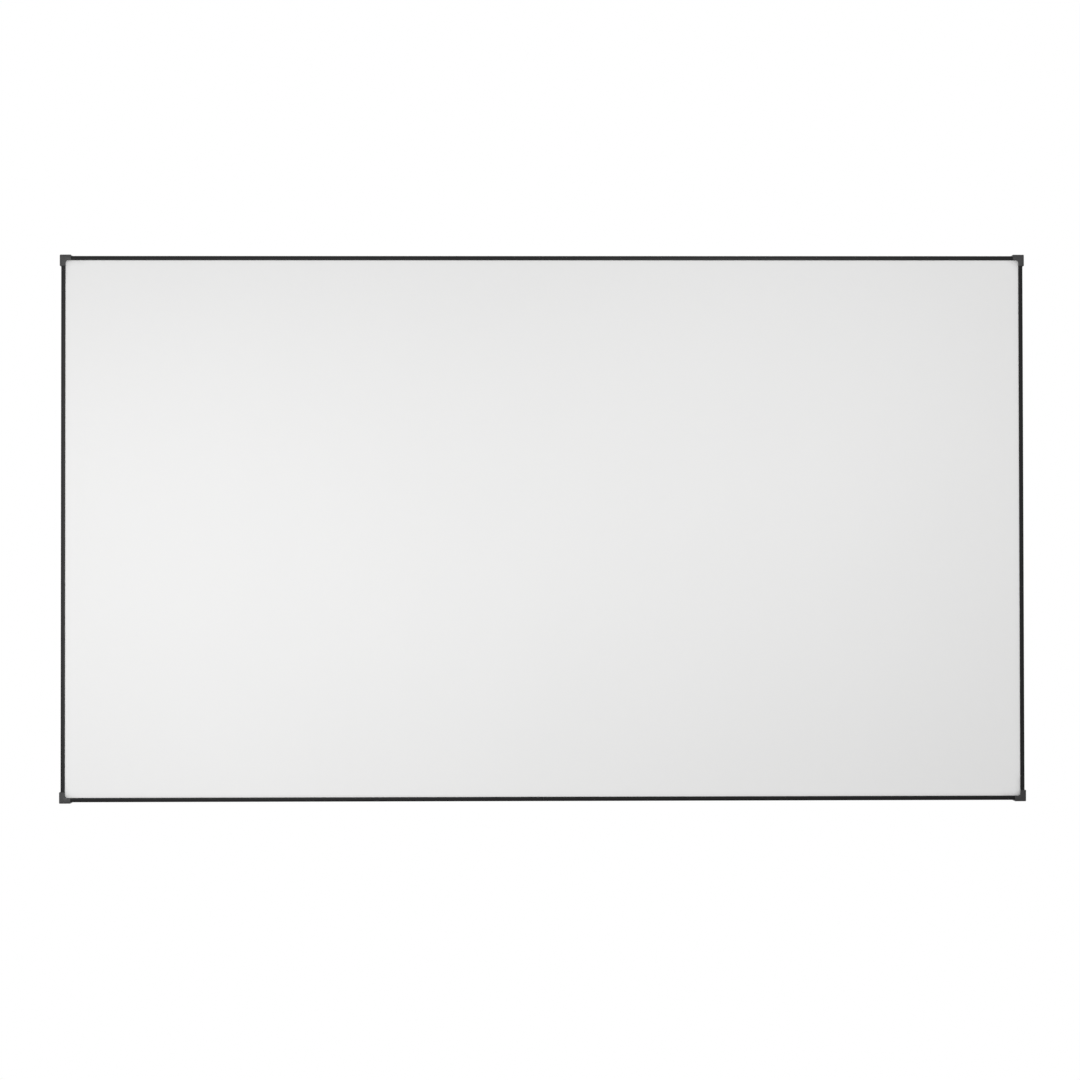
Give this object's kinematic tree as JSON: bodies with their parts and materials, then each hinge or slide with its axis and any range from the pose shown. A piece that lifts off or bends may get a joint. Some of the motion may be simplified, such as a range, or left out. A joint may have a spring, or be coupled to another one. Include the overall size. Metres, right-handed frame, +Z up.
{
  "type": "fixed frame projector screen",
  "caption": "Wall-hung fixed frame projector screen: a taut white 16:9 sheet over a slim aluminium frame, with black clip-on trim, moulded corner caps and hook-on wall brackets.",
  "frame": {"origin": "on the wall, behind the middle of the screen", "axes": "+X to the right as seen from the front, +Y into the wall, +Z up; the screen faces -Y"},
  "size_m": [2.24, 0.0438, 1.271],
  "materials": {
    "sheet_white": "fine matte embossed film",
    "trim_black": "satin black anodised",
    "rail_aluminium": "mill finish with draw lines",
    "cap_plastic": "fine moulded grain",
    "plate_steel": "bright zinc plate",
    "spring_steel": "bright zinc plate",
    "screw_steel": "black oxide",
    "bracket_black": "black powder coat",
    "clip_plastic": "moulded nylon"
  },
  "bodies": {
    "root": {"screen_sheet": "sheet_white", "trim_top_left": "trim_black", "trim_top_right": "trim_black", "trim_right": "trim_black", "trim_bottom_right": "trim_black", "trim_bottom_left": "trim_black", "trim_left": "trim_black", "rail_top_left": "rail_aluminium", "rail_top_right": "rail_aluminium", "rail_right": "rail_aluminium", "rail_bottom_right": "rail_aluminium", "rail_bottom_left": "rail_aluminium", "rail_left": "rail_aluminium", "support_bar": "rail_aluminium", "support_clip_top": "clip_plastic", "support_clip_bottom": "clip_plastic", "tension_rod_top": "spring_steel", "tension_rod_right": "spring_steel", "tension_rod_bottom": "spring_steel", "tension_rod_left": "spring_steel", "corner_cap_top_left": "cap_plastic", "corner_cap_top_right": "cap_plastic", "corner_cap_bottom_right": "cap_plastic", "corner_cap_bottom_left": "cap_plastic", "corner_bracket_top_left": "plate_steel", "corner_bracket_top_right": "plate_steel", "corner_bracket_bottom_right": "plate_steel", "corner_bracket_bottom_left": "plate_steel", "corner_screw_top_left_1": "screw_steel", "corner_screw_top_left_2": "screw_steel", "corner_screw_top_left_3": "screw_steel", "corner_screw_top_left_4": "screw_steel", "corner_screw_top_right_1": "screw_steel", "corner_screw_top_right_2": "screw_steel", "corner_screw_top_right_3": "screw_steel", "corner_screw_top_right_4": "screw_steel", "corner_screw_bottom_right_1": "screw_steel", "corner_screw_bottom_right_2": "screw_steel", "corner_screw_bottom_right_3": "screw_steel", "corner_screw_bottom_right_4": "screw_steel", "corner_screw_bottom_left_1": "screw_steel", "corner_screw_bottom_left_2": "screw_steel", "corner_screw_bottom_left_3": "screw_steel", "corner_screw_bottom_left_4": "screw_steel", "splice_plate_top": "plate_steel", "splice_plate_bottom": "plate_steel", "splice_screw_top_1": "screw_steel", "splice_screw_top_2": "screw_steel", "splice_screw_top_3": "screw_steel", "splice_screw_top_4": "screw_steel", "splice_screw_bottom_1": "screw_steel", "splice_screw_bottom_2": "screw_steel", "splice_screw_bottom_3": "screw_steel", "splice_screw_bottom_4": "screw_steel", "wall_bracket_top_left": "bracket_black", "wall_bracket_top_right": "bracket_black", "wall_bracket_bottom_right": "bracket_black", "wall_bracket_bottom_left": "bracket_black"}
  },
  "joints": []
}
